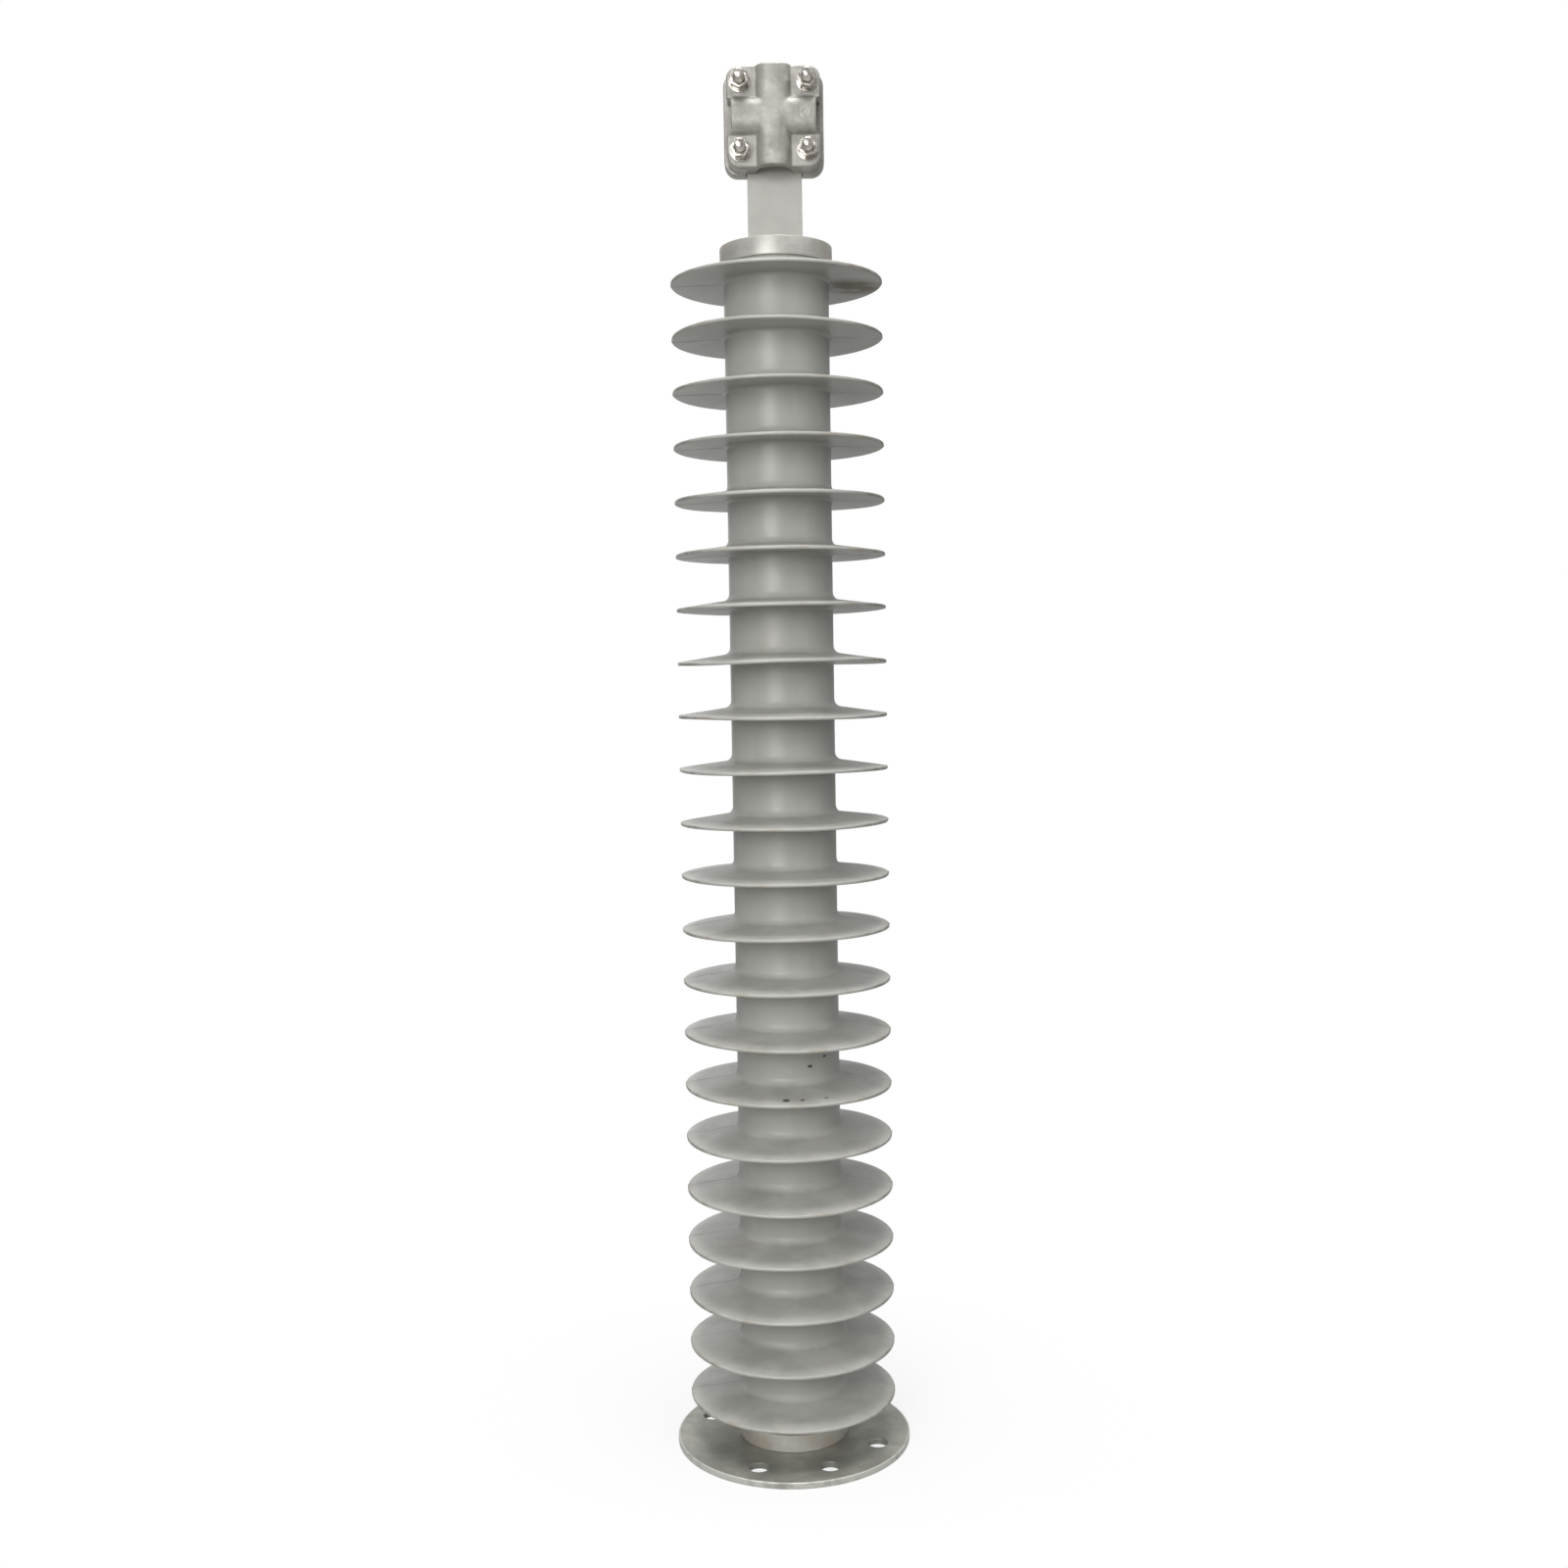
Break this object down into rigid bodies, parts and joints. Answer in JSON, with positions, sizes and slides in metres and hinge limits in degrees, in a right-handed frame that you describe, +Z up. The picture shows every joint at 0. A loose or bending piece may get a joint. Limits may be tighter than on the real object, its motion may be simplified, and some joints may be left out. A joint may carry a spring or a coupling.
{
  "type": "surge arrester",
  "caption": "Upright polymer-housed surge arrester: a ribbed grey insulator on a drilled round base plate, with a bolted conductor clamp on a flat bar at its top.",
  "frame": {"origin": "centre of the base plate's underside, on the surface it stands on", "axes": "+Z up along the arrester, the clamp's bolts point to -Y, +X to the right seen from the clamp's front"},
  "size_m": [0.182, 0.182, 1.0506],
  "materials": {
    "silicone_rubber": "matt grey silicone rubber with a faint sheen, moulding lines, small nicks and stains",
    "galvanised_plate": "mottled dull galvanised steel with a worn bright rim",
    "turned_aluminium": "turned aluminium with fine rings",
    "cast_aluminium": "sand-cast aluminium, dull, slightly pitted",
    "bright_steel": "bright stainless fasteners",
    "zinc_steel": "plain zinc-plated steel",
    "glass_fibre": "wound glass fibre in epoxy resin",
    "metal_oxide": "sintered metal oxide with a glassy collar"
  },
  "bodies": {
    "root": {"base_plate": "galvanised_plate", "cover_screws": "zinc_steel", "bottom_fitting": "turned_aluminium", "frp_tube": "glass_fibre", "housing": "silicone_rubber", "mo_discs": "metal_oxide", "disc_spacers": "turned_aluminium", "end_contacts": "turned_aluminium", "disc_springs": "zinc_steel", "top_fitting": "turned_aluminium", "line_terminal": "cast_aluminium", "clamp_back_plate": "cast_aluminium", "clamp_keeper": "cast_aluminium", "clamp_bolts": "bright_steel", "clamp_plain_washers": "bright_steel", "clamp_spring_washers": "bright_steel", "clamp_nuts": "bright_steel"}
  },
  "joints": []
}
